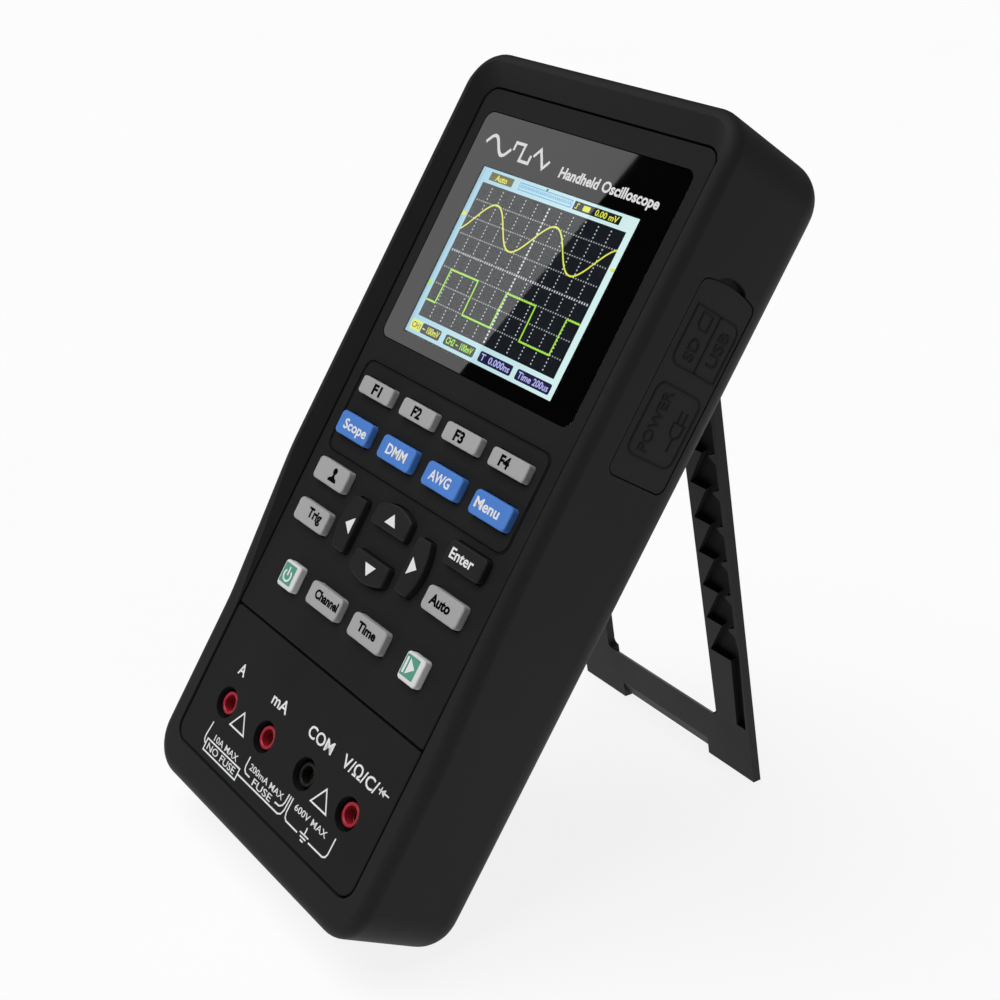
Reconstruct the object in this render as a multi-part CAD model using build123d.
"""Handheld oscilloscope and multimeter, leaning back on its kickstand. Millimetres.

The parts are drawn in the body's own directions: X to the right, Y from the front panel (y = 0)
to the back, Z from the bottom edge up the body. place() then leans the whole assembly back on its
kickstand, so that the floor is z = 0 and the origin is under the middle of the object.
"""

import math
import os

from build123d import *

# Body
BODY_W = 94.4
BODY_H = 199.0
BODY_D = 37.5
MID_Z = BODY_H / 2
CORNER_R = 10.5
REAR_SLOPE_IN = 7.8
REAR_SLOPE_DEPTH = 9.4
REAR_OUTER_R = 8.0
REAR_INNER_R = 4.5
FRONT_EDGE_R = 3.0

# Front rim of the boot: its crest stands proud of the panel beside the screen and the keys
CREST_Y = -3.4
LOW_RIM_Y = -0.2
RIM_RISE_Z = 47.0
RIM_CREST_Z = 88.0
RIM_BEND_R = 90.0
OPENING_W = 82.1
OPENING_Z = (8.8, 191.05)
OPENING_R = 4.6
RIM_SLOPE_SIDE = 3.25
RIM_SLOPE_TOP = 5.75
RIM_SLOPE_DEPTH = 3.8
RIM_SLOPE_R = 7.0

# Hard rear case inside the boot
CASE_W = 88.0
CASE_H = 192.6
CASE_R = 7.3
CASE_REAR_R = 7.0
CASE_FRONT_Y = 1.8
CASE_BACK_Y = 34.3
CASE_WALL = 2.0
PLATEAU_W = 73.6
PLATEAU_H = 176.4
PLATEAU_R = 4.0
BOOT_GAP = 0.2

# Panels
PANEL_T = 2.2
PANEL_GAP = 0.55
PANEL_EDGE_R = 0.35
DIVIDER_Z = 46.9
DIVIDER_GAP = 0.6
FLANGE_Y = (1.9, 3.6)
FLANGE_IN = 3.0
FLANGE_FIT = 0.1
FLANGE_R = 2.5
OUTLINE_W = 73.2
OUTLINE_Z = (92.4, 117.4)
OUTLINE_R = 3.0
OUTLINE_LINE = 0.6
OUTLINE_H = 0.25

# Screen
LENS_W = 73.5
LENS_Z = (123.6, 184.8)
LENS_R = 2.8
LENS_Y = (0.1, 1.3)
LENS_FIT = 0.15
LCD_X = -1.4
LCD_Z = 149.4
LCD_GLASS = (60.0, 46.4)
LCD_MODULE = (69.2, 50.0)
LCD_GLASS_Y = (1.45, 3.0)
LCD_BACK_Y = 5.2
LCD_WINDOW_FIT = 0.6

# Keys: one shape of flange and travel for all of them
KEY_RISE = 1.8
KEY_GAP = 0.3
KEY_EDGE_R = 0.45
KEY_FLANGE = 0.75
KEY_FLANGE_Y = (2.5, 3.3)
KEY_PLUNGER_Y = 4.3
KEY_PLUNGER_R = 1.6
KEY_R = 1.2
F_KEY_R = 0.9
SMALL_KEY_DROP = 0.3
DOME_SHEET = (72.0, (52.5, 116.5), 2.0)
DOME = (2.4, 1.4, 0.6)
KEY_W = 13.4
KEY_H = 5.9
OUTER_COLUMN = 27.8
INNER_COLUMN = 9.3
F_KEY_W = 13.1
F_KEY_H = 4.5
F_KEY_Z = 110.85
F_PITCH = 17.67
BLUE_ROW_Z = 100.15
UPPER_ROW_Z = 87.5
MIDDLE_ROW_Z = 76.2
LOWER_ROW_Z = 60.9
SMALL_KEY = 6.9
SMALL_KEY_R = 1.0
POWER_KEY_X = -25.2
RUN_KEY_X = 27.9
PAD_Z = 79.8
PAD_HALF_W = 17.3
PAD_HALF_H = 10.0
PAD_CORE_X = 11.0
PAD_CORE_Z = 3.4
PAD_SIDE = 13.8
PAD_BOW = 1.8
PAD_KEY_R = 0.8

# Meter jacks
JACK_PITCH = 18.6
JACK_MID_X = 0.4
JACK_Z = 24.6
WELL_R = 4.0
WELL_WALL = 1.3
WELL_Y = 16.0
WELL_FLOOR = 1.5
SLEEVE_R = 2.9
SLEEVE_Y = 1.0
SLEEVE_MOUTH_R = 2.1
CONTACT_R = 2.45
CONTACT_BORE_R = 2.0
CONTACT_Y = (4.0, 18.0)
CONTACT_BORE_END = 17.0
TAIL_R = 1.0
TAIL_Y = 23.0
FUSE_Z = 30.5
FUSE_RISE = 3.6
FUSE_TUBE_R = 2.3
FUSE_CAP_R = 2.6
FUSE_CAP_X = (5.0, 10.0)
CLIP_X = (-9.5, 6.5)
CLIP_T = 3.0
CLIP_RISE = 5.5
CLIP_Z = (27.2, 33.8)
CLIP_MOUTH_Z = (28.4, 32.6)

# Boards
BOARD_T = 1.6
KEY_BOARD_Y = 6.4
KEY_BOARD_Z = (50.0, 181.5)
MAIN_BOARD_Y = 15.7
MAIN_BOARD_Z = (110.5, 176.8)
JACK_BOARD_Y = 20.4
JACK_BOARD_Z = (20.0, 36.5)
BOARD_W = 81.0
BOARD_R = 1.5
JACK_BOARD_W = 76.0
MAIN_SCREW_X = (-37.5, 33.0)
MAIN_SCREW_Z = (117.0, 168.0)
MAIN_POST_R = 2.4
STACK_X = (-30, 2)
STACK_Z = (113, 118)
RIBBON_X = (-34, -24)
RIBBON_Z = (30.6, 117.4)
RIBBON_T = 0.4
RIBBON_SOCKET_X = (-34.8, -23)
RIBBON_SOCKETS_Z = ((30, 34.5), (113.5, 118))
CAN_X = (-28, 14)
CAN_Z = (138, 174)
CAN_RISE = 5.0
CAN_WALL = 0.6
CHIPS_IN_CAN = (((-20, -6), (150, 164), 1.2), ((0, 9), (152, 161), 1.0))
CHIPS_BEHIND = (
    ((-14, 0), (150, 164), 1.2),
    ((8, 18), (140, 150), 1.0),
    ((-8, -3), (126, 131), 3.0),
    ((2, 7), (126, 131), 3.0),
    ((12, 17), (126, 131), 3.0),
)
BEEPER_AT = (-26, 132)
BEEPER_R = 6.0
BEEPER_RISE = 5.0
BEEPER_HOLE_R = 1.0
BEEPER_HOLE_DEPTH = 2.0
DOME_SHEET_Y = 6.0
RIBBON_Y = 24.2

# Screws
CASE_POST_X = 31.0
CASE_POST_Z = (14.9, 177.9)
CASE_POST_R = 3.1
POST_SPLIT_Y = 19.8
SCREW_R = 1.45
SCREW_HEAD_R = 2.8
SCREW_FIT = 0.1
BOARD_SCREW_R = 0.9
BOARD_POST_R = 2.0
BOARD_POST_X = 38.2
BOARD_HEAD_R = 1.7
BOARD_HEAD_T = 1.2
BOARD_DRIVER_R = 0.7
CASE_HEAD_T = 2.0
CASE_DRIVER_R = 1.3
CASE_SCREW_TIP_Y = 8.0
POST_HOLE_Y = 7.0
BOARD_POST_Z = (55.0, 119.0)

# Battery bay
CELL_R = 9.2
CELL_X = 9.35
CELL_Y = 26.1
CELL_Z = (41.3, 106.3)
CELL_TIP_R = 3.0
CELL_TIP = 0.8
CONTACT_HALF = 5.0
CONTACT_T = 0.4
SPRING_R = (3.5, 1.5)
BAY_W = 37.5
BAY_Z = (40.0, 107.6)
BAY_FRONT_Y = 15.5
BAY_WALL = 1.5
DOOR_W = 38.8
DOOR_Z = (38.0, 115.5)
DOOR_T = 2.0
DOOR_FIT = 0.2
DOOR_R = 2.5
DOOR_SCREW_X = 13.0
DOOR_SCREW_Z = 112.0
DOOR_SCREW_R = 1.05
DOOR_HEAD_R = 2.0
DOOR_HEAD_T = 1.2
DOOR_HEAD_SUNK = 1.3
DOOR_BOSS_R = 2.6
DOOR_BOSS_Y = 24.0
GRIP_Z = 46.0
GRIP_PITCH = 3.0
GRIP_COUNT = 5
GRIP_SLOT = (18.0, 1.2)

# Input bay for the coaxial sockets in the top face
BNC_PITCH = 24.0
BNC_Y = 18.0
INPUT_BAY = (74.0, 20.0)
INPUT_BAY_R = 4.0
INPUT_FLOOR_Z = 185.0
BNC_BARREL_R = 4.8
BNC_TOP_Z = 197.5
BNC_LUG_R = 5.6
BNC_THREAD_R = 4.0
BNC_BORE_R = 4.1
BNC_HEX_R = 7.0
BNC_HEX_T = 2.0
BNC_TAIL = 6.5
BNC_LUG_DOWN = 4.2
BNC_CORE_R = (2.15, 2.4)
BNC_PIN_R = 0.7
BNC_PIN_HOLE_R = 0.45
BNC_NUT_R = 6.4
BNC_NUT_T = 1.8
BAY_FLOOR_T = 1.5

# Side ports and their rubber flap
SIDE_X = BODY_W / 2
FLAP_Y = (5.3, 25.3)
FLAP_Z = (119.0, 166.4)
FLAP_R = 2.5
FLAP_T = 1.6
FLAP_GAP = 0.35
FLAP_SUNK = 0.12
NOTCH_W = 10.5
NOTCH_DEPTH = 1.7
FLAP_MID_Y = (FLAP_Y[0] + FLAP_Y[1]) / 2
SD_Z = 153.2
SD_Y = 14.1
USB_Y = 19.2
POWER_Z = 133.5
CARD_HOLE = (1.6, 7.2)
SOCKET_HOLE = (1.9, 4.8)
SOCKET_SIZE = (9.0, 3.2)
SOCKET_WALL = 0.3
SOCKET_X = 34.0
PLUG_DEPTH = 0.9
PLUGS = ((SD_Y, SD_Z, 1.6, 12.0), (USB_Y, SD_Z, 2.0, 7.0), (USB_Y, POWER_Z, 2.0, 7.0))

# Kickstand: foot line at v = 0, v runs up the stand to the hinge
STAND_LENGTH = 133.4
STAND_ANGLE = 44.84
STAND_T = 2.6
STAND_FRONT_Y = 34.6
HINGE_Y = 35.5
HINGE_Z = 153.3
FOOT_HALF_W = 35.6
STAND_TAPER = 0.0226
WINDOW_V = (16.8, 110.0)
WINDOW_HALF_W = 22.8
WINDOW_TAPER = 0.026
WINDOW_R = 1.6
CROSSBAR_BEVEL = 2.8
PAD_INNER_X = 17.9
PAD_STEP = 1.4
FINGER_BEVEL_V = 7.0
FINGER_BEVEL_T = 1.5
BARREL_R = 1.9
PIN_R = 0.9
PIN_RUNNING_GAP = 0.06
PIN_HALF_L = 36.4
STAND_GAP = 0.5
GROOVE_TOP = 2.9
GROOVE_DEPTH = 2.3
GROOVE_HALF_W = 33.0
HEEL = 3.3
TOE = 1.2
FINGER_HOLLOW = (9.0, 5.0)
FINGER_HOLLOW_Y = 34.7
TOOTH_NECK = 2.2
TOOTH_NOTCH = (1.6, 0.3)
POCKET_DEPTH = 1.9
TOOTH_PITCH = 10.65
TOOTH_START_V = 41.0
TOOTH_COUNT = 7
POCKET_IN_X = 23.1
POCKET_WAIST_X = 28.8
POCKET_OUT_X = 33.6
SLOT_X = (30.8, 34.2)
SLOT_END_V = 18.5

parts = {}


def lean_angle():
    """Tilt of the floor against the body: it touches the rear bottom edge and the foot."""
    stand = math.radians(STAND_ANGLE)
    offset = HINGE_Y - STAND_FRONT_Y
    foot_y = HINGE_Y - offset * math.cos(stand) + STAND_LENGTH * math.sin(stand)
    foot_z = HINGE_Z - offset * math.sin(stand) - STAND_LENGTH * math.cos(stand)
    turn = math.atan2(REAR_SLOPE_IN, REAR_SLOPE_DEPTH)
    run = foot_y - (BODY_D - REAR_SLOPE_DEPTH - REAR_OUTER_R * math.tan(turn / 2))
    rise = foot_z - REAR_OUTER_R
    tilt = math.atan2(rise, run) + math.asin(REAR_OUTER_R / math.hypot(run, rise))
    return math.degrees(tilt), foot_y, foot_z


LEAN, FOOT_Y, FOOT_Z = lean_angle()


def place(shape):
    """Leans a part back and stands it on the floor, centred under the assembly."""
    tilt = math.radians(LEAN)
    floor = -FOOT_Y * math.sin(tilt) + FOOT_Z * math.cos(tilt)
    return Pos(0, -MIDDLE_Y, -floor) * Rot(-LEAN, 0, 0) * shape


def leaned_y(y, z):
    tilt = math.radians(LEAN)
    return y * math.cos(tilt) + z * math.sin(tilt)


FOOT_BACK_Y = leaned_y(FOOT_Y, FOOT_Z) + STAND_T * math.cos(math.radians(STAND_ANGLE - LEAN))
LOW_FRONT_Y = leaned_y(LOW_RIM_Y, FRONT_EDGE_R)
MIDDLE_Y = (FOOT_BACK_Y + LOW_FRONT_Y) / 2


def save(name, shape):
    parts[name] = shape
    export_step(place(shape), f"parts/{name}.step")


def slab(sketch, y0, y1):
    """A sketch drawn in X and Z, filled from y0 to y1."""
    plane = Plane(origin=(0, y1, 0), x_dir=(1, 0, 0), z_dir=(0, -1, 0))
    return extrude(plane * sketch, amount=y1 - y0)


def rounded(width, z_range, radius, x=0.0):
    low, high = z_range
    return Pos(x, (low + high) / 2) * RectangleRounded(width, high - low, radius)


def disc(x, z, radius):
    return Pos(x, z) * Circle(radius)


def block(x, y, z):
    """A box from three (low, high) ranges."""
    size = [high - low for low, high in (x, y, z)]
    middle = [(low + high) / 2 for low, high in (x, y, z)]
    return Pos(*middle) * Box(*size)


def rod_y(x, z, radius, y0, y1):
    return slab(disc(x, z, radius), y0, y1)


def rod_z(x, y, radius, z0, z1):
    return Pos(x, y, (z0 + z1) / 2) * Cylinder(radius, z1 - z0)


def rod_x(y, z, radius, x0, x1):
    return Pos((x0 + x1) / 2, y, z) * Rot(0, 90, 0) * Cylinder(radius, x1 - x0)


def group(shapes):
    """Separate solids kept together in one node."""
    return Compound([solid for shape in shapes for solid in shape.solids()])


def case_post_points():
    return [(x, z) for z in CASE_POST_Z for x in (-CASE_POST_X, CASE_POST_X)]


def board_post_points():
    return [(x, z) for z in BOARD_POST_Z for x in (-BOARD_POST_X, BOARD_POST_X)]


# ---------------------------------------------------------------- boot and case


def full_body():
    """Outer form of the boot, before anything is hollowed."""
    body = slab(rounded(BODY_W, (0, BODY_H), CORNER_R), CREST_Y - 1, BODY_D)
    back = body.faces().sort_by(Axis.Y)[-1]
    body = chamfer(back.edges(), REAR_SLOPE_IN, REAR_SLOPE_DEPTH, reference=back)
    slope_start = [e for e in body.edges() if abs(e.center().Y - (BODY_D - REAR_SLOPE_DEPTH)) < 0.01]
    body = fillet(slope_start, REAR_OUTER_R)
    body = fillet(body.faces().sort_by(Axis.Y)[-1].edges(), REAR_INNER_R)
    rim = FilletPolyline(
        (LOW_RIM_Y, -5),
        (LOW_RIM_Y, RIM_RISE_Z),
        (CREST_Y, RIM_CREST_Z),
        (CREST_Y, BODY_H + 5),
        radius=RIM_BEND_R,
    )
    round_front = Polyline((CREST_Y, BODY_H + 5), (-20, BODY_H + 5), (-20, -5), (LOW_RIM_Y, -5))
    ahead = Plane.YZ * make_face([*rim.edges(), *round_front.edges()])
    body -= extrude(ahead, amount=BODY_W, both=True)
    front = [e for e in body.edges() if e.center().Y < 1 and not crosses_front(e)]
    return fillet(front, FRONT_EDGE_R)


def crosses_front(edge):
    along_x = abs(edge.tangent_at(0.5).X) > 0.99
    return along_x and FRONT_EDGE_R < edge.center().Z < BODY_H - FRONT_EDGE_R


def front_opening():
    """The dished opening inside the rim, sloping out from the panel to the crest."""
    inner = rounded(OPENING_W, OPENING_Z, OPENING_R)
    high = (OPENING_Z[0] - RIM_SLOPE_SIDE, OPENING_Z[1] + RIM_SLOPE_TOP)
    outer = rounded(OPENING_W + 2 * RIM_SLOPE_SIDE, high, RIM_SLOPE_R)
    near = Plane(origin=(0, 0, 0), x_dir=(1, 0, 0), z_dir=(0, -1, 0))
    far = Plane(origin=(0, -RIM_SLOPE_DEPTH, 0), x_dir=(1, 0, 0), z_dir=(0, -1, 0))
    dish = loft([near * inner, far * outer])
    return dish + slab(inner, -0.5, CASE_FRONT_Y + 1)


def case_form():
    """Outer form of the hard case, which the boot's inside follows."""
    z_range = (MID_Z - CASE_H / 2, MID_Z + CASE_H / 2)
    form = slab(rounded(CASE_W, z_range, CASE_R), CASE_FRONT_Y, CASE_BACK_Y)
    return fillet(form.faces().sort_by(Axis.Y)[-1].edges(), CASE_REAR_R)


def plateau(grow, y0):
    half = PLATEAU_H / 2 + grow
    sketch = rounded(PLATEAU_W + 2 * grow, (MID_Z - half, MID_Z + half), PLATEAU_R + grow)
    return slab(sketch, y0, BODY_D + (1 if grow else 0))


def input_bay(grow, z0, z1):
    sketch = RectangleRounded(INPUT_BAY[0] + 2 * grow, INPUT_BAY[1] + 2 * grow, INPUT_BAY_R)
    return Pos(0, BNC_Y, z0) * extrude(sketch, amount=z1 - z0)


def flap_outline(grow):
    """Flap outline in Y and Z, with a gently bowed top edge."""
    y0, y1 = FLAP_Y[0] - grow, FLAP_Y[1] + grow
    z0, z1 = FLAP_Z[0] - grow, FLAP_Z[1] + grow
    bow = ThreePointArc((y1, z1 - 1), ((y0 + y1) / 2, z1 + 0.4), (y0, z1 - 1))
    sides = Polyline((y0, z1 - 1), (y0, z0), (y1, z0), (y1, z1 - 1))
    face = make_face([bow.edge(), *sides.edges()])
    return fillet(face.vertices(), FLAP_R + grow)


def side_plate(sketch, x0, x1):
    return Pos(x0, 0, 0) * extrude(Plane.YZ * sketch, amount=x1 - x0)


def port_windows(x0, x1):
    """Openings in the right wall for the card slot and the two sockets."""
    holes = ((SD_Y, SD_Z, CARD_HOLE), (USB_Y, SD_Z, SOCKET_HOLE), (USB_Y, POWER_Z, SOCKET_HOLE))
    return group(block((x0, x1), (y - dy, y + dy), (z - dz, z + dz)) for y, z, (dy, dz) in holes)


def finger_notch():
    sketch = Pos(FLAP_MID_Y, FLAP_Z[1] - 0.4) * Ellipse(NOTCH_W / 2, NOTCH_DEPTH + 0.6)
    return side_plate(sketch, SIDE_X - FLAP_T, SIDE_X + 1)


def protective_boot():
    boot = full_body() - front_opening() - case_form()
    boot -= plateau(BOOT_GAP, CASE_BACK_Y - 1)
    boot -= input_bay(0, INPUT_FLOOR_Z, BODY_H + 5)
    boot -= side_plate(flap_outline(0), SIDE_X - FLAP_T - 0.05, SIDE_X + 1)
    boot -= finger_notch()
    return boot - port_windows(CASE_W / 2 - 2, SIDE_X)


def stand_recess():
    """Hollow in the back that the folded stand lies in, with the finger hollow at its foot."""
    foot_z = HINGE_Z - STAND_LENGTH
    low = foot_z - TOE
    high = HINGE_Z + HEEL + 0.4
    top_half = FOOT_HALF_W - STAND_TAPER * STAND_LENGTH + STAND_GAP
    low_half = FOOT_HALF_W + STAND_GAP
    outer = Polygon((-low_half, low), (low_half, low), (top_half, high), (-top_half, high), align=None)
    window_low = foot_z + WINDOW_V[0] + STAND_GAP
    window_high = foot_z + WINDOW_V[1] - STAND_GAP
    low_in = window_half_width(WINDOW_V[0]) - STAND_GAP
    high_in = window_half_width(WINDOW_V[1]) - STAND_GAP
    corners = [(-low_in, window_low), (low_in, window_low), (high_in, window_high), (-high_in, window_high)]
    island = make_face(Polyline(*corners, close=True).edges())
    hollow = slab(outer - fillet(island.vertices(), WINDOW_R), CASE_BACK_Y, BODY_D + 1)
    groove_y = (HINGE_Y - GROOVE_DEPTH, CASE_BACK_Y + 1)
    groove_z = (HINGE_Z - GROOVE_DEPTH, HINGE_Z + GROOVE_TOP)
    groove = block((-GROOVE_HALF_W, GROOVE_HALF_W), groove_y, groove_z)
    finger = slab(Pos(0, low) * Ellipse(*FINGER_HOLLOW), FINGER_HOLLOW_Y, BODY_D + 1)
    return hollow + groove + finger


def battery_walls():
    x = BAY_W / 2 + BAY_WALL
    z = (BAY_Z[0] - BAY_WALL, BAY_Z[1] + BAY_WALL)
    bosses = [rod_y(s * DOOR_SCREW_X, DOOR_SCREW_Z, DOOR_BOSS_R, DOOR_BOSS_Y, CASE_BACK_Y) for s in (-1, 1)]
    return block((-x, x), (BAY_FRONT_Y - BAY_WALL, CASE_BACK_Y), z) + bosses


def battery_hollow():
    cells = block((-BAY_W / 2, BAY_W / 2), (BAY_FRONT_Y, BODY_D + 1), BAY_Z)
    door_z = (DOOR_Z[0] - DOOR_FIT, DOOR_Z[1] + DOOR_FIT)
    door = slab(rounded(DOOR_W + 2 * DOOR_FIT, door_z, DOOR_R), BODY_D - DOOR_T, BODY_D + 1)
    holes = [rod_y(s * DOOR_SCREW_X, DOOR_SCREW_Z, 1.1, 26, BODY_D) for s in (-1, 1)]
    return cells + door + holes


def rear_case():
    inside_w = CASE_W - 2 * CASE_WALL
    half = CASE_H / 2 - CASE_WALL
    inside = rounded(inside_w, (MID_Z - half, MID_Z + half), CASE_R - CASE_WALL)
    case = case_form() + plateau(0, CASE_BACK_Y - 1)
    hollow = slab(inside, CASE_FRONT_Y - 1, CASE_BACK_Y - CASE_WALL)
    case -= fillet(hollow.faces().sort_by(Axis.Y)[-1].edges(), CASE_REAR_R - CASE_WALL)
    case += battery_walls()
    case += input_bay(1.6, INPUT_FLOOR_Z - BAY_FLOOR_T, MID_Z + half + 0.5)
    for x, z in case_post_points():
        case += rod_y(x, z, CASE_POST_R, POST_SPLIT_Y, CASE_BACK_Y - 1)
    posts = main_screw_points()
    case += [rod_y(x, z, MAIN_POST_R, MAIN_BOARD_Y + BOARD_T, CASE_BACK_Y - 1) for x, z in posts]
    case -= [rod_y(x, z, BOARD_SCREW_R + 0.05, 10, 25) for x, z in posts]
    case -= input_bay(0, INPUT_FLOOR_Z, BODY_H)
    hole_z = (INPUT_FLOOR_Z - 2 * BAY_FLOOR_T, INPUT_FLOOR_Z + 1)
    case -= [rod_z(x, BNC_Y, BNC_THREAD_R + 0.1, *hole_z) for x in bnc_columns()]
    case -= battery_hollow()
    case -= stand_recess()
    case -= port_windows(CASE_W / 2 - 3, CASE_W / 2 + 1)
    for x, z in case_post_points():
        case -= rod_y(x, z, SCREW_R + SCREW_FIT, POST_SPLIT_Y - 1, BODY_D)
        case -= rod_y(x, z, SCREW_HEAD_R + 0.2, CASE_BACK_Y + 0.2, BODY_D + 1)
    return case - rod_x(HINGE_Y, HINGE_Z, PIN_R, -PIN_HALF_L, PIN_HALF_L)


# ---------------------------------------------------------------- panels and screen


def panel_outline(low, high, low_r, high_r):
    """Panel outline with its own radius at the lower and the upper corners."""
    width = OPENING_W - 2 * PANEL_GAP
    face = make_face(Pos(0, (low + high) / 2) * Rectangle(width, high - low).wire())
    face = fillet(face.vertices().group_by(Axis.Y)[0], low_r)
    return fillet(face.vertices().group_by(Axis.Y)[-1], high_r)


def panel_plate(low, high, low_r, high_r):
    """Front plate, with the hidden flange that the boot's rim and the case hold."""
    plate = slab(panel_outline(low, high, low_r, high_r), 0, PANEL_T)
    plate = fillet(plate.faces().sort_by(Axis.Y)[0].edges(), PANEL_EDGE_R)
    width = CASE_W - 2 * (CASE_WALL + FLANGE_FIT)
    half = CASE_H / 2 - CASE_WALL - FLANGE_FIT
    ring = rounded(width, (MID_Z - half, MID_Z + half), CASE_R - CASE_WALL)
    ring -= rounded(width - 2 * FLANGE_IN, (MID_Z - half + FLANGE_IN, MID_Z + half - FLANGE_IN), FLANGE_R)
    above = (low, BODY_H) if low > DIVIDER_Z else (0, high)
    return plate + (slab(ring, *FLANGE_Y) & block((-BODY_W, BODY_W), (0, 10), above))


def screw_posts(points, radius, y1, hole_r, hole_y0):
    """Posts behind a panel, and the blind screw holes to cut from them."""
    posts = [rod_y(x, z, radius, PANEL_T - 0.2, y1) for x, z in points]
    holes = [rod_y(x, z, hole_r, hole_y0, y1 + 1) for x, z in points]
    return posts, holes


def outline_ridge():
    """Thin raised line around the function keys."""
    line = rounded(OUTLINE_W, OUTLINE_Z, OUTLINE_R)
    inside = (OUTLINE_Z[0] + OUTLINE_LINE, OUTLINE_Z[1] - OUTLINE_LINE)
    line -= rounded(OUTLINE_W - 2 * OUTLINE_LINE, inside, OUTLINE_R - OUTLINE_LINE)
    return slab(line, -OUTLINE_H, 0.2)


def front_panel():
    panel = panel_plate(DIVIDER_Z + DIVIDER_GAP / 2, OPENING_Z[1] - PANEL_GAP, 0.5, 4.0)
    panel += outline_ridge()
    lens = rounded(LENS_W + 2 * LENS_FIT, (LENS_Z[0] - LENS_FIT, LENS_Z[1] + LENS_FIT), LENS_R)
    panel -= slab(lens, -1, LENS_Y[1])
    window = Pos(LCD_X, LCD_Z) * Rectangle(LCD_GLASS[0] + LCD_WINDOW_FIT, LCD_GLASS[1] + LCD_WINDOW_FIT)
    panel -= slab(window, 0, PANEL_T + 1)
    for outline in KEYS.values():
        panel -= slab(offset(outline, KEY_GAP), -1, PANEL_T + 1)
    upper = [p for p in case_post_points() if p[1] > MID_Z]
    posts, holes = screw_posts(upper, CASE_POST_R, POST_SPLIT_Y - 0.2, SCREW_R + 0.05, POST_HOLE_Y)
    panel += posts
    panel -= holes
    posts, holes = screw_posts(board_post_points(), BOARD_POST_R, KEY_BOARD_Y, BOARD_SCREW_R + 0.05, 3)
    panel += posts
    return panel - holes


def jack_columns():
    return [JACK_MID_X + (i - 1.5) * JACK_PITCH for i in range(4)]


def jack_panel():
    panel = panel_plate(OPENING_Z[0] + PANEL_GAP, DIVIDER_Z - DIVIDER_GAP / 2, 4.0, 0.9)
    panel += [rod_y(x, JACK_Z, WELL_R + WELL_WALL, PANEL_T - 0.2, WELL_Y) for x in jack_columns()]
    panel -= [rod_y(x, JACK_Z, WELL_R, -1, WELL_Y - WELL_FLOOR) for x in jack_columns()]
    panel -= [rod_y(x, JACK_Z, CONTACT_R + 0.05, 5, WELL_Y + 1) for x in jack_columns()]
    lower = [p for p in case_post_points() if p[1] < MID_Z]
    posts, holes = screw_posts(lower, CASE_POST_R, POST_SPLIT_Y - 0.2, SCREW_R + 0.05, POST_HOLE_Y)
    panel += posts
    return panel - holes


def screen_lens():
    lens = slab(rounded(LENS_W, LENS_Z, LENS_R - LENS_FIT), *LENS_Y)
    return chamfer(lens.faces().sort_by(Axis.Y)[0].edges(), 0.2)


def lcd_rectangle(size, y0, y1):
    return slab(Pos(LCD_X, LCD_Z) * Rectangle(*size), y0, y1)


def lcd_panel():
    """Glass cell of the display, its front reaching into the panel's window."""
    return lcd_rectangle(LCD_GLASS, *LCD_GLASS_Y)


def lcd_bezel():
    """Folded steel frame around the display and its backlight."""
    frame = lcd_rectangle(LCD_MODULE, PANEL_T + 0.2, LCD_BACK_Y)
    frame -= lcd_rectangle((LCD_GLASS[0] + 0.4, LCD_GLASS[1] + 0.4), 2, LCD_BACK_Y + 1)
    return frame


def backlight():
    return lcd_rectangle(LCD_GLASS, LCD_GLASS_Y[1], LCD_BACK_Y)


# ---------------------------------------------------------------- keys


def key_sketch(x, z, width=KEY_W, height=KEY_H, radius=KEY_R):
    return Pos(x, z) * RectangleRounded(width, height, radius)


def pad_key(turn, near, far, bow):
    """One side of the direction pad: flat towards the middle and bowed outwards."""
    half = PAD_SIDE / 2
    arch = ThreePointArc((-half, far - bow), (0, far), (half, far - bow))
    sides = Polyline((half, far - bow), (half, near), (-half, near), (-half, far - bow))
    face = make_face([arch.edge(), *sides.edges()])
    return Pos(0, PAD_Z) * Rot(0, 0, turn) * fillet(face.vertices(), PAD_KEY_R)


def key_outlines():
    columns = (-OUTER_COLUMN, -INNER_COLUMN, INNER_COLUMN, OUTER_COLUMN)
    outlines = {}
    for i in range(4):
        x = (i - 1.5) * F_PITCH
        outlines[f"key_f{i + 1}"] = key_sketch(x, F_KEY_Z, F_KEY_W, F_KEY_H, F_KEY_R)
    for x, name in zip(columns, ("scope", "meter", "generator", "menu")):
        outlines[f"key_{name}"] = key_sketch(x, BLUE_ROW_Z)
    outlines["key_user"] = key_sketch(-OUTER_COLUMN, UPPER_ROW_Z)
    outlines["key_trigger"] = key_sketch(-OUTER_COLUMN, MIDDLE_ROW_Z)
    outlines["key_enter"] = key_sketch(OUTER_COLUMN, UPPER_ROW_Z)
    outlines["key_auto"] = key_sketch(OUTER_COLUMN, MIDDLE_ROW_Z)
    outlines["key_channel"] = key_sketch(-INNER_COLUMN, LOWER_ROW_Z)
    outlines["key_time"] = key_sketch(INNER_COLUMN, LOWER_ROW_Z)
    small_z = LOWER_ROW_Z - SMALL_KEY_DROP
    for x, name in ((POWER_KEY_X, "power"), (RUN_KEY_X, "run")):
        outlines[f"key_{name}"] = key_sketch(x, small_z, SMALL_KEY, SMALL_KEY, SMALL_KEY_R)
    for turn, name in ((0, "up"), (180, "down")):
        outlines[f"key_{name}"] = pad_key(turn, PAD_CORE_Z, PAD_HALF_H, PAD_BOW)
    for turn, name in ((90, "left"), (-90, "right")):
        outlines[f"key_{name}"] = pad_key(turn, PAD_CORE_X, PAD_HALF_W, PAD_BOW)
    return outlines


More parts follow.
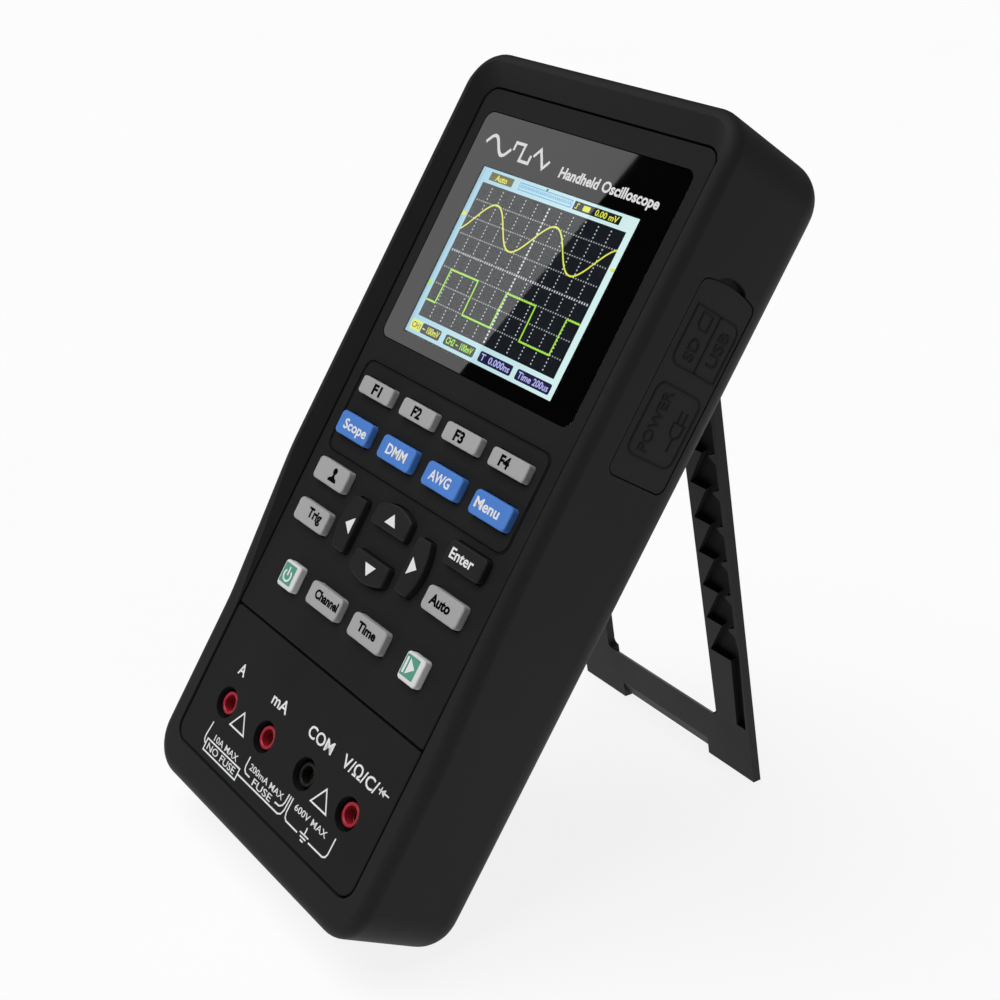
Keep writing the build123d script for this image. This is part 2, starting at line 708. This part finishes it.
def key_body(outline):
    """Cap with a rounded top edge, the flange that keeps it in, and the plunger."""
    cap = slab(outline, -KEY_RISE, KEY_FLANGE_Y[0] + 0.1)
    cap = fillet(cap.faces().sort_by(Axis.Y)[0].edges(), KEY_EDGE_R)
    cap += slab(offset(outline, KEY_FLANGE), *KEY_FLANGE_Y)
    middle = outline.bounding_box().center()
    return cap + rod_y(middle.X, middle.Y, KEY_PLUNGER_R, KEY_FLANGE_Y[1] - 0.1, KEY_PLUNGER_Y)


def dome_sheet():
    """Switch sheet on the key board, with one dome under each plunger."""
    sheet = slab(rounded(*DOME_SHEET), DOME_SHEET_Y, KEY_BOARD_Y)
    for outline in KEYS.values():
        middle = outline.bounding_box().center()
        base = Plane(origin=(middle.X, DOME_SHEET_Y + 0.05, middle.Y), z_dir=(0, -1, 0))
        sheet += base * (Pos(0, 0, DOME[2] / 2) * Cone(*DOME))
    return sheet


# ---------------------------------------------------------------- boards and electronics


def key_board():
    board = slab(rounded(BOARD_W, KEY_BOARD_Z, BOARD_R), KEY_BOARD_Y, KEY_BOARD_Y + BOARD_T)
    upper = [p for p in case_post_points() if p[1] > MID_Z]
    board -= [rod_y(x, z, CASE_POST_R + 0.4, 6, 9) for x, z in upper]
    return board - [rod_y(x, z, BOARD_SCREW_R + 0.1, 6, 9) for x, z in board_post_points()]


def main_screw_points():
    return [(x, z) for z in MAIN_SCREW_Z for x in MAIN_SCREW_X]


def main_board():
    y0 = MAIN_BOARD_Y
    board = slab(rounded(BOARD_W, MAIN_BOARD_Z, BOARD_R), y0, y0 + BOARD_T)
    upper = [p for p in case_post_points() if p[1] > MID_Z]
    board -= [rod_y(x, z, CASE_POST_R + 0.5, y0 - 1, y0 + 3) for x, z in upper]
    return board - [rod_y(x, z, BOARD_SCREW_R + 0.1, y0 - 1, y0 + 3) for x, z in main_screw_points()]


def board_connectors():
    """Stacking connector between the two big boards, and the ribbon's two sockets."""
    stack = block(STACK_X, (KEY_BOARD_Y + BOARD_T, MAIN_BOARD_Y), STACK_Z)
    boards = (JACK_BOARD_Y, MAIN_BOARD_Y)
    places = zip(boards, RIBBON_SOCKETS_Z)
    return group([stack, *(block(RIBBON_SOCKET_X, (y + BOARD_T, RIBBON_Y), z) for y, z in places)])


def shrunk(low_high, wall):
    return low_high[0] + wall, low_high[1] - wall


def shield_can():
    can = block(CAN_X, (MAIN_BOARD_Y - CAN_RISE, MAIN_BOARD_Y), CAN_Z)
    inside_y = (MAIN_BOARD_Y - CAN_RISE + CAN_WALL, MAIN_BOARD_Y + 1)
    return can - block(shrunk(CAN_X, CAN_WALL), inside_y, shrunk(CAN_Z, CAN_WALL))


def board_chips():
    """Larger chips on both sides of the main board."""
    back = MAIN_BOARD_Y + BOARD_T
    chips = [block(x, (MAIN_BOARD_Y - rise, MAIN_BOARD_Y), z) for x, z, rise in CHIPS_IN_CAN]
    chips += [block(x, (back, back + rise), z) for x, z, rise in CHIPS_BEHIND]
    return group(chips)


def beeper():
    base = MAIN_BOARD_Y + BOARD_T
    top = base + BEEPER_RISE
    hole = rod_y(*BEEPER_AT, BEEPER_HOLE_R, top - BEEPER_HOLE_DEPTH, top + 1)
    return rod_y(*BEEPER_AT, BEEPER_R, base, top) - hole


def screw(x, z, radius, head_r, y_tip, y_head, head_t, driver):
    """Screw with its head towards the back and a hexagonal or round driver recess."""
    body = rod_y(x, z, radius, y_tip, y_head) + rod_y(x, z, head_r, y_head, y_head + head_t)
    recess = slab(Pos(x, z) * RegularPolygon(driver, 6), y_head + head_t * 0.4, y_head + head_t + 1)
    return body - recess


def case_screws():
    head_y = CASE_BACK_Y + 0.2
    size = (SCREW_R, SCREW_HEAD_R, CASE_SCREW_TIP_Y, head_y, CASE_HEAD_T, CASE_DRIVER_R)
    return group(screw(x, z, *size) for x, z in case_post_points())


def board_screws():
    key_y = KEY_BOARD_Y + BOARD_T
    head = (BOARD_HEAD_T, BOARD_DRIVER_R)
    screws = [screw(x, z, BOARD_SCREW_R, BOARD_HEAD_R, 3.4, key_y, *head) for x, z in board_post_points()]
    for x, z in main_screw_points():
        turned = screw(0, 0, BOARD_SCREW_R, BOARD_HEAD_R, -6, 0, *head)
        screws.append(Pos(x, MAIN_BOARD_Y, z) * Rot(0, 0, 180) * turned)
    return group(screws)


def door_screws():
    size = (DOOR_SCREW_R, DOOR_HEAD_R, 27, BODY_D - DOOR_HEAD_SUNK, DOOR_HEAD_T, 0.8)
    return group(screw(s * DOOR_SCREW_X, DOOR_SCREW_Z, *size) for s in (-1, 1))


# ---------------------------------------------------------------- coaxial inputs


def bnc_columns():
    return [(i - 1) * BNC_PITCH for i in range(3)]


def bnc_socket(x):
    """Panel socket: barrel with two bayonet lugs, hexagon flange and threaded tail."""
    floor = INPUT_FLOOR_Z
    socket = rod_z(x, BNC_Y, BNC_BARREL_R, floor + 1, BNC_TOP_Z)
    socket += Pos(x, BNC_Y, floor) * extrude(RegularPolygon(BNC_HEX_R, 6), amount=BNC_HEX_T)
    socket += rod_z(x, BNC_Y, BNC_THREAD_R, floor - BNC_TAIL, floor + 1)
    socket += rod_x(BNC_Y, BNC_TOP_Z - BNC_LUG_DOWN, 1.0, x - BNC_LUG_R, x + BNC_LUG_R)
    socket -= rod_z(x, BNC_Y, BNC_BORE_R, floor + 3, BNC_TOP_Z + 1)
    socket -= rod_z(x, BNC_Y, BNC_CORE_R[0] + 0.05, floor - BNC_TAIL - 1, floor + 4)
    return chamfer(socket.edges().filter_by(GeomType.CIRCLE).group_by(Axis.Z)[-1], 0.25)


def bnc_insulators():
    """White core of each socket, standing in the barrel, with the hole for its contact."""
    floor = INPUT_FLOOR_Z
    cores = []
    for x in bnc_columns():
        core = rod_z(x, BNC_Y, BNC_CORE_R[0], floor - BNC_TAIL, floor + 3)
        core += rod_z(x, BNC_Y, BNC_CORE_R[1], floor + 3, BNC_TOP_Z - 2.2)
        cores.append(core - rod_z(x, BNC_Y, BNC_PIN_R + 0.05, floor - BNC_TAIL - 1, BNC_TOP_Z))
    return group(cores)


def bnc_contacts():
    contacts = []
    for x in bnc_columns():
        pin = rod_z(x, BNC_Y, BNC_PIN_R, MAIN_BOARD_Z[1] - 4, BNC_TOP_Z - 2.6)
        contacts.append(pin - rod_z(x, BNC_Y, BNC_PIN_HOLE_R, BNC_TOP_Z - 7, BNC_TOP_Z))
    return group(contacts)


def bnc_nuts():
    low = INPUT_FLOOR_Z - BAY_FLOOR_T - BNC_NUT_T
    hexagon = extrude(RegularPolygon(BNC_NUT_R, 6), amount=BNC_NUT_T)
    ring = hexagon - Pos(0, 0, BNC_NUT_T / 2) * Cylinder(BNC_THREAD_R + 0.02, 3)
    return group(Pos(x, BNC_Y, low) * ring for x in bnc_columns())


# ---------------------------------------------------------------- meter section


def jack_sleeve(x):
    """Insulating tube that stands in its well around the contact."""
    sleeve = rod_y(x, JACK_Z, SLEEVE_R, SLEEVE_Y, WELL_Y - WELL_FLOOR)
    sleeve -= rod_y(x, JACK_Z, SLEEVE_MOUTH_R, SLEEVE_Y - 1, CONTACT_Y[0] + 1)
    sleeve -= rod_y(x, JACK_Z, CONTACT_R + 0.05, CONTACT_Y[0], WELL_Y)
    return chamfer(sleeve.edges().filter_by(GeomType.CIRCLE).group_by(Axis.Y)[0], 0.15)


def jack_contacts():
    contacts = []
    for x in jack_columns():
        tube = rod_y(x, JACK_Z, CONTACT_R, *CONTACT_Y)
        tube += rod_y(x, JACK_Z, TAIL_R, CONTACT_Y[1] - 0.5, TAIL_Y)
        contacts.append(tube - rod_y(x, JACK_Z, CONTACT_BORE_R, 0, CONTACT_BORE_END))
    return group(contacts)


def jack_board():
    y0 = JACK_BOARD_Y
    board = slab(rounded(JACK_BOARD_W, JACK_BOARD_Z, BOARD_R), y0, y0 + BOARD_T)
    return board - [rod_y(x, JACK_Z, TAIL_R + 0.05, y0 - 1, y0 + 3) for x in jack_columns()]


def fuse():
    """Glass tube fuse with its two end caps."""
    y = JACK_BOARD_Y + BOARD_T + FUSE_RISE
    inner, outer = FUSE_CAP_X
    seat = inner + 0.99
    tube = rod_x(y, FUSE_Z, FUSE_TUBE_R, -seat, seat) - rod_x(y, FUSE_Z, FUSE_TUBE_R - 0.5, -outer, outer)
    cap = rod_x(y, FUSE_Z, FUSE_CAP_R, inner, outer) - rod_x(y, FUSE_Z, FUSE_TUBE_R, inner - 1, outer - 1)
    return group([tube, cap, mirror(cap, Plane.YZ)])


def fuse_clips():
    back = JACK_BOARD_Y + BOARD_T
    clips = []
    for x in CLIP_X:
        clip = block((x, x + CLIP_T), (back, back + CLIP_RISE), CLIP_Z)
        clip -= rod_x(back + FUSE_RISE, FUSE_Z, FUSE_CAP_R + 0.05, x - 1, x + CLIP_T + 1)
        mouth = block((x - 1, x + CLIP_T + 1), (back + FUSE_RISE, back + CLIP_RISE + 1), CLIP_MOUTH_Z)
        clips.append(clip - mouth)
    return group(clips)


def meter_ribbon():
    """Flat cable from the jack board up to the main board, beside the battery bay."""
    return block(RIBBON_X, (RIBBON_Y, RIBBON_Y + RIBBON_T), RIBBON_Z)


# ---------------------------------------------------------------- battery


def battery_cells():
    cells = []
    for x in (-CELL_X, CELL_X):
        cell = rod_z(x, CELL_Y, CELL_R, CELL_Z[0], CELL_Z[1] - CELL_TIP)
        cells.append(cell + rod_z(x, CELL_Y, CELL_TIP_R, CELL_Z[1] - 1, CELL_Z[1]))
    return group(cells)


def battery_contacts():
    """Contact plates at both ends of the bay; the lower ones carry a raised spring dome."""
    plates = []
    for x in (-CELL_X, CELL_X):
        wide = (x - CONTACT_HALF, x + CONTACT_HALF)
        deep = (CELL_Y - CONTACT_HALF, CELL_Y + CONTACT_HALF)
        plate_top = BAY_Z[0] + CONTACT_T
        dome = Pos(x, CELL_Y, (plate_top + CELL_Z[0]) / 2) * Cone(*SPRING_R, CELL_Z[0] - plate_top)
        plates.append(block(wide, deep, (BAY_Z[0], plate_top)) + dome)
        plates.append(block(wide, deep, (CELL_Z[1], BAY_Z[1])))
    return group(plates)


def battery_door():
    door = slab(rounded(DOOR_W, DOOR_Z, DOOR_R - DOOR_FIT), BODY_D - DOOR_T, BODY_D)
    door = chamfer(door.faces().sort_by(Axis.Y)[-1].edges(), 0.3)
    for i in range(GRIP_COUNT):
        door -= slab(Pos(0, GRIP_Z + GRIP_PITCH * i) * SlotOverall(*GRIP_SLOT), BODY_D - 0.5, BODY_D + 1)
    for s in (-1, 1):
        door -= rod_y(s * DOOR_SCREW_X, DOOR_SCREW_Z, DOOR_SCREW_R + 0.15, BODY_D - 3, BODY_D + 1)
        door -= rod_y(s * DOOR_SCREW_X, DOOR_SCREW_Z, DOOR_HEAD_R + 0.2, BODY_D - DOOR_HEAD_SUNK, BODY_D + 1)
    return door


# ---------------------------------------------------------------- side ports


def sd_socket():
    shell = block((29, CASE_W / 2 - 0.4), (MAIN_BOARD_Y - 2.2, MAIN_BOARD_Y), (SD_Z - 7, SD_Z + 7))
    return shell - block((31, CASE_W / 2), (SD_Y - 0.1, SD_Y + 0.9), (SD_Z - 5.6, SD_Z + 5.6))


def port_socket(z):
    """Oval socket on the back of the main board, with its tongue."""
    back = MAIN_BOARD_Y + BOARD_T
    mid = back + 1.65
    width, height = SOCKET_SIZE
    oval = Plane.YZ * (Pos(mid, z) * Rot(0, 0, 90) * SlotOverall(width, height))
    inside = SlotOverall(width - 2 * SOCKET_WALL, height - 2 * SOCKET_WALL)
    hollow = Plane.YZ * (Pos(mid, z) * Rot(0, 0, 90) * inside)
    shell = Pos(SOCKET_X, 0, 0) * extrude(oval, amount=CASE_W / 2 - 0.4 - SOCKET_X)
    shell -= Pos(SOCKET_X + 2, 0, 0) * extrude(hollow, amount=12)
    return shell + block((35, 42), (mid - 0.35, mid + 0.35), (z - 3.2, z + 3.2))


def port_flap():
    """Rubber cover: a plate level with the boot's side and shallow plugs behind it."""
    inner_x = SIDE_X - FLAP_T + 0.05
    flap = side_plate(flap_outline(-FLAP_GAP), inner_x, SIDE_X - FLAP_SUNK)
    for y, z, width, height in PLUGS:
        wide, tall = (y - width / 2, y + width / 2), (z - height / 2, z + height / 2)
        flap += block((inner_x - PLUG_DEPTH, inner_x + 0.1), wide, tall)
    return flap


# ---------------------------------------------------------------- kickstand


def outer_half_width(v):
    return FOOT_HALF_W - STAND_TAPER * v


def window_half_width(v):
    return WINDOW_HALF_W - WINDOW_TAPER * (v - WINDOW_V[0])


def folded_z(v):
    return HINGE_Z - STAND_LENGTH + v


def stand_outline():
    top_v = STAND_LENGTH + HEEL
    foot_v = -TOE
    points = []
    for side in (1, -1):
        run = [(outer_half_width(foot_v), foot_v), (outer_half_width(top_v), top_v)]
        points += [(side * x, folded_z(v)) for x, v in (run if side > 0 else run[::-1])]
    outline = make_face(Polyline(*points, close=True).edges())
    outline = fillet(outline.vertices().group_by(Axis.Y)[-1], 3.0)
    outline = fillet(outline.vertices().group_by(Axis.Y)[0], 0.6)
    low, high = WINDOW_V
    low_x, high_x = window_half_width(low), window_half_width(high)
    ring = [(-low_x, low), (low_x, low), (high_x, high), (-high_x, high)]
    window = make_face(Polyline(*[(x, folded_z(v)) for x, v in ring], close=True).edges())
    return outline - fillet(window.vertices(), WINDOW_R)


def pocket_sketch():
    """Saw-toothed pocket along a leg, narrowing to a slot towards the foot."""
    inner = []
    outer = []
    for k in range(TOOTH_COUNT):
        v = TOOTH_START_V + k * TOOTH_PITCH
        lean = WINDOW_TAPER * (v - TOOTH_START_V)
        next_v = v + TOOTH_PITCH
        if k:
            inner.append((POCKET_WAIST_X - lean, v))
            edge = POCKET_OUT_X - lean
            wide, narrow = TOOTH_NOTCH
            notch = ((edge, -wide), (edge - TOOTH_NECK, -narrow), (edge - TOOTH_NECK, narrow), (edge, wide))
            outer += [(x, v + rise) for x, rise in notch]
        inner.append((POCKET_IN_X - lean, v))
    top = TOOTH_START_V + TOOTH_COUNT * TOOTH_PITCH
    lean = WINDOW_TAPER * (top - TOOTH_START_V)
    slot = [(SLOT_X[1], SLOT_END_V), (SLOT_X[0], SLOT_END_V), (SLOT_X[0], TOOTH_START_V)]
    tip = [(POCKET_WAIST_X - lean, next_v), (POCKET_OUT_X - lean, next_v)]
    ring = [*slot, *inner, *tip, *outer[::-1], (SLOT_X[1], TOOTH_START_V + 4)]
    return make_face(Polyline(*[(x, folded_z(v)) for x, v in ring], close=True).edges())


def folded_stand():
    """The stand lying in its recess, before it is swung open."""
    front, back = STAND_FRONT_Y, STAND_FRONT_Y + STAND_T
    stand = slab(stand_outline(), front, back)
    pocket = slab(pocket_sketch(), front - 1, front + POCKET_DEPTH)
    stand -= pocket
    stand -= mirror(pocket, Plane.YZ)
    low_z = folded_z(-5)
    stand -= block((-PAD_INNER_X, PAD_INNER_X), (front - 1, back + 1), (low_z, folded_z(PAD_STEP)))
    bevel = Polyline(
        (front - 1, folded_z(PAD_STEP - 1)),
        (front - 1, folded_z(FINGER_BEVEL_V + 2.3)),
        (front + FINGER_BEVEL_T, folded_z(PAD_STEP - 1)),
        close=True,
    )
    wedge = extrude(Plane.YZ * make_face(bevel.edges()), amount=PAD_INNER_X, both=True)
    stand -= wedge
    low = WINDOW_V[0]
    under = Polyline(
        (front, folded_z(low)), (back, folded_z(low)), (back, folded_z(low - CROSSBAR_BEVEL)), close=True
    )
    straight = window_half_width(low) - WINDOW_R
    stand -= extrude(Plane.YZ * make_face(under.edges()), amount=straight, both=True)
    barrel_half = outer_half_width(STAND_LENGTH) - 2.0
    return stand + rod_x(HINGE_Y, HINGE_Z, BARREL_R, -barrel_half, barrel_half)


def kickstand():
    """The open stand: heel bevelled to its stop and feet cut level with the floor."""
    stand = Pos(0, -HINGE_Y, -HINGE_Z) * folded_stand()
    stand = Pos(0, HINGE_Y, HINGE_Z) * Rot(STAND_ANGLE, 0, 0) * stand
    stop_y = CASE_BACK_Y + 0.1
    stand -= block((-40, 40), (stop_y - 20, stop_y), (HINGE_Z + 2.0, HINGE_Z + 20))
    stand -= block((-40, 40), (HINGE_Y - 20, HINGE_Y - 2.0), (HINGE_Z - 6, HINGE_Z + 2.1))
    stand -= rod_x(HINGE_Y, HINGE_Z, PIN_R + PIN_RUNNING_GAP, -40, 40)
    floor = Pos(0, FOOT_Y, FOOT_Z) * Rot(LEAN, 0, 0) * Pos(0, 0, -10) * Box(200, 200, 20)
    return stand - floor


def hinge_pin():
    return rod_x(HINGE_Y, HINGE_Z, PIN_R, -PIN_HALF_L, PIN_HALF_L)


# ---------------------------------------------------------------- assembly

KEYS = key_outlines()
SLEEVES = ("amps", "milliamps", "common", "volts")


def build_all():
    os.makedirs("parts", exist_ok=True)
    save("protective_boot", protective_boot())
    save("rear_case", rear_case())
    save("front_panel", front_panel())
    save("jack_panel", jack_panel())
    save("screen_lens", screen_lens())
    save("lcd_panel", lcd_panel())
    save("lcd_bezel", lcd_bezel())
    save("backlight", backlight())
    for name, outline in KEYS.items():
        save(name, key_body(outline))
    save("dome_sheet", dome_sheet())
    save("key_board", key_board())
    save("main_board", main_board())
    save("board_connectors", board_connectors())
    save("shield_can", shield_can())
    save("board_chips", board_chips())
    save("beeper", beeper())
    save("case_screws", case_screws())
    save("board_screws", board_screws())
    save("door_screws", door_screws())
    save("bnc_sockets", group(bnc_socket(x) for x in bnc_columns()))
    save("bnc_insulators", bnc_insulators())
    save("bnc_contacts", bnc_contacts())
    save("bnc_nuts", bnc_nuts())
    for x, name in zip(jack_columns(), SLEEVES):
        save(f"jack_sleeve_{name}", jack_sleeve(x))
    save("jack_contacts", jack_contacts())
    save("jack_board", jack_board())
    save("fuse", fuse())
    save("fuse_clips", fuse_clips())
    save("meter_ribbon", meter_ribbon())
    save("battery_cells", battery_cells())
    save("battery_contacts", battery_contacts())
    save("battery_door", battery_door())
    save("sd_socket", sd_socket())
    save("port_sockets", group(port_socket(z) for z in (SD_Z, POWER_Z)))
    save("port_flap", port_flap())
    save("kickstand", kickstand())
    save("hinge_pin", hinge_pin())


build_all()
